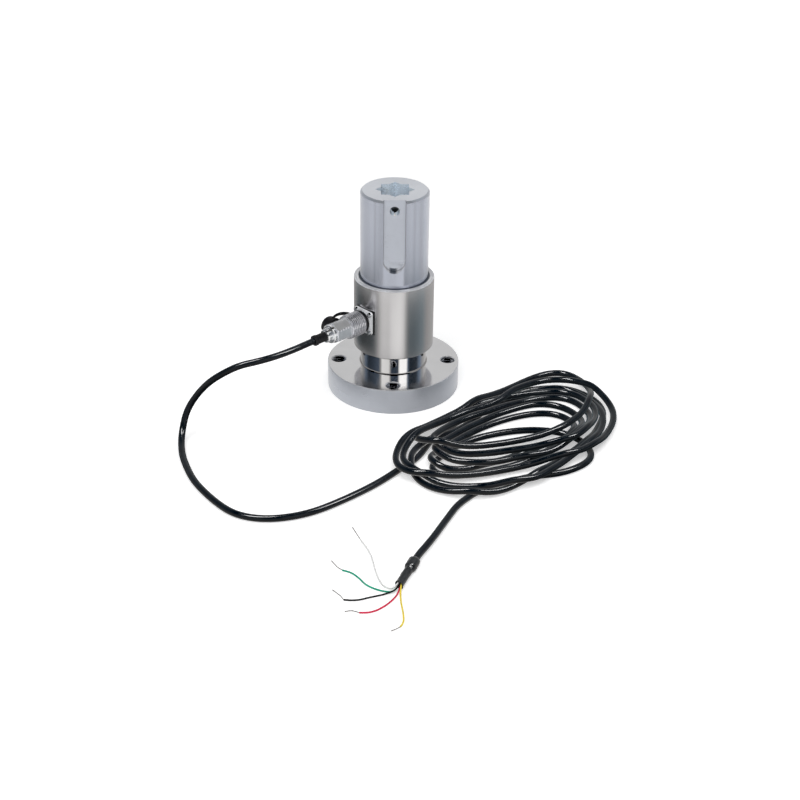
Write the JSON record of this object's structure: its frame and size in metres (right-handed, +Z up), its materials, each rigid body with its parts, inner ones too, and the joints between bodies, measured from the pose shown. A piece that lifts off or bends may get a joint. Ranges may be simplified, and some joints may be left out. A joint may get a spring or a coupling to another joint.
{
  "type": "static torque sensor",
  "caption": "Flange-mounted static torque sensor: a steel shaft with a double-square drive socket, a gauge sleeve and a side plug with a coiled cable.",
  "frame": {"origin": "centre of the flange's underside, at the mouth of the centring recess", "axes": "+Z up along the shaft to the drive socket, -Y towards the slotted front of the head"},
  "size_m": [0.3161, 0.343, 0.151],
  "materials": {
    "body_steel": "turned and polished",
    "sleeve_steel": "satin",
    "black_rubber": "satin",
    "gauge_foil": "matt",
    "board": "matt",
    "wire_red": "satin",
    "nickel": "bright nickel plate",
    "black_plastic": "matt",
    "gold": "gold plated",
    "cable_black": "gloss",
    "shrink_black": "satin",
    "lead_white": "satin",
    "lead_green": "satin",
    "lead_black": "satin",
    "lead_red": "satin",
    "lead_yellow": "satin",
    "tinned": "tinned strands"
  },
  "bodies": {
    "sensor": {"torsion_body": "body_steel", "housing_sleeve": "sleeve_steel", "top_seal": "black_rubber", "bottom_seal": "black_rubber", "strain_gauges": "gauge_foil", "terminal_board": "board", "bridge_wires": "wire_red", "receptacle_gasket": "black_rubber", "receptacle_shell": "nickel", "receptacle_screws": "nickel", "receptacle_insert": "black_plastic", "receptacle_pins": "gold", "dust_cap": "black_rubber"},
    "plug": {"plug_shell": "nickel", "plug_insert": "black_plastic", "plug_contacts": "gold", "clamp_nut": "nickel", "strain_relief_boot": "black_rubber", "cable": "cable_black", "cable_coil": "cable_black", "shrink_sleeve": "shrink_black", "lead_white": "lead_white", "lead_green": "lead_green", "lead_black": "lead_black", "lead_red": "lead_red", "lead_yellow": "lead_yellow", "lead_tips": "tinned"},
    "ring": {"coupling_ring": "nickel"}
  },
  "joints": [
    {"name": "plug_slide", "type": "slide", "parent": "sensor", "child": "plug", "axis": [-0.7193, -0.6947, 0], "range_m": [0, 0.006]},
    {"name": "ring_turn", "type": "hinge", "parent": "plug", "child": "ring", "pos_m": [0, 0, 0.0604], "axis": [-0.7193, -0.6947, 0], "range_deg": [0, 2160]}
  ],
  "couplings": [
    {"joint": "ring_turn", "follows": "plug_slide", "rad_per_m": 6283.2}
  ]
}
